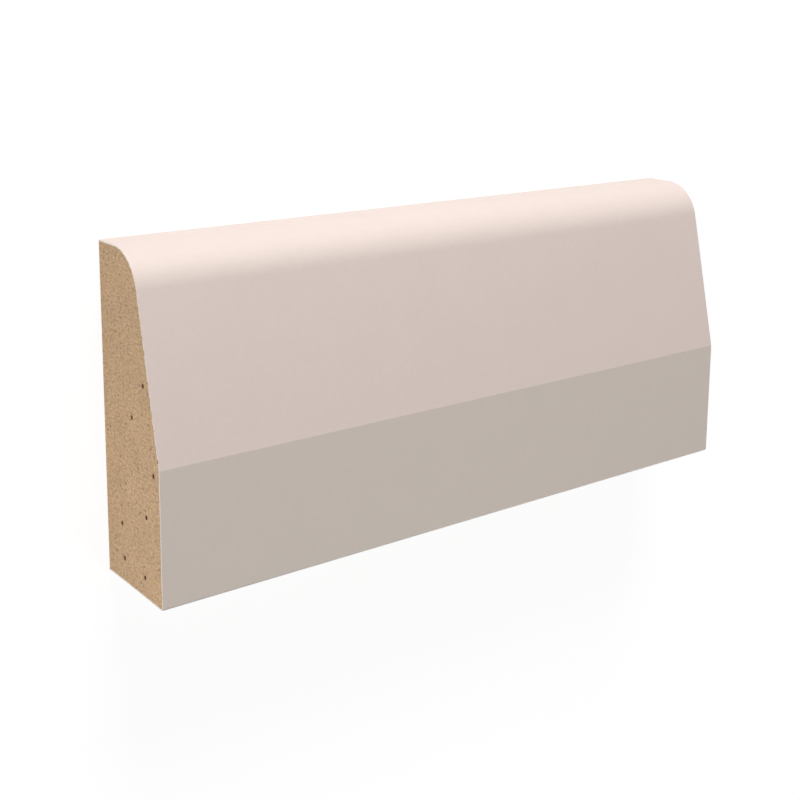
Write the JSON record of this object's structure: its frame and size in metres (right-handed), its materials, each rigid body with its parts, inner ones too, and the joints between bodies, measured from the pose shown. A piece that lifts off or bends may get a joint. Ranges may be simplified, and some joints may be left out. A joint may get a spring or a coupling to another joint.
{
  "type": "chamfered architrave",
  "caption": "Short length of architrave moulding with a plain flat margin, a long shallow chamfer falling to a rounded nose, a flat back and square sawn ends.",
  "frame": {"origin": "middle of the flat back, which lies on the floor", "axes": "+X along the length, +Y across the width from the rounded nose to the thick edge, +Z out of the machined face"},
  "size_m": [0.1, 0.044, 0.015],
  "materials": {
    "primed_mdf": "satin"
  },
  "bodies": {
    "root": {"architrave": "primed_mdf"}
  },
  "joints": []
}
